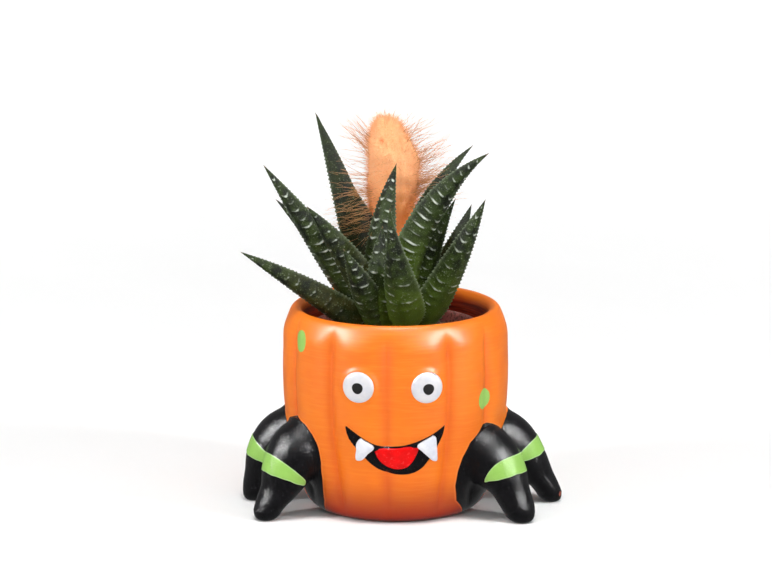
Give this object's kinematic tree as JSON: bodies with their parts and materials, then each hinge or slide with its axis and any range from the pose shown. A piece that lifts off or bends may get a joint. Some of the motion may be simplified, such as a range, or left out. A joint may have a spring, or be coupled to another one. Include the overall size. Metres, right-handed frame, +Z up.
{
  "type": "potted succulent",
  "caption": "Zebra haworthia and a dyed woolly column cactus in soil, in a pumpkin-ribbed ceramic pot with legs and a smiling face",
  "frame": {"origin": "centre of the pot's flat base, on the surface it stands on", "axes": "+Z up; the pot's face looks along -Y; +X to the right of a viewer who faces the pot"},
  "size_m": [0.1184, 0.0835, 0.1438],
  "materials": {
    "pot_orange": "satin",
    "pot_black": "satin",
    "pot_green": "satin",
    "pot_white": "gloss",
    "pot_red": "gloss",
    "nursery_plastic": "satin",
    "soil": "matte",
    "stem": "matte",
    "leaf": "satin",
    "leaf_ridge": "matte",
    "dyed_cactus": "matte",
    "cactus_hair": "satin"
  },
  "bodies": {
    "root": {"pot": "pot_orange", "nursery_pot": "nursery_plastic", "soil": "soil", "haworthia_stem": "stem", "woolly_cactus": "dyed_cactus", "leaf_heart": "leaf", "leaf_middle": "leaf", "leaf_front": "leaf", "leaf_second": "leaf", "leaf_right_tall": "leaf", "leaf_right_inner": "leaf", "leaf_right_low": "leaf", "leaf_left_front": "leaf", "leaf_front_short": "leaf", "leaf_left_low": "leaf", "leaf_left_upper": "leaf", "leaf_left_tall": "leaf", "leaf_right_rear": "leaf", "leaf_right_outer": "leaf", "leaf_left_rear": "leaf", "leaf_back_right": "leaf", "leaf_back_left": "leaf"}
  },
  "joints": []
}
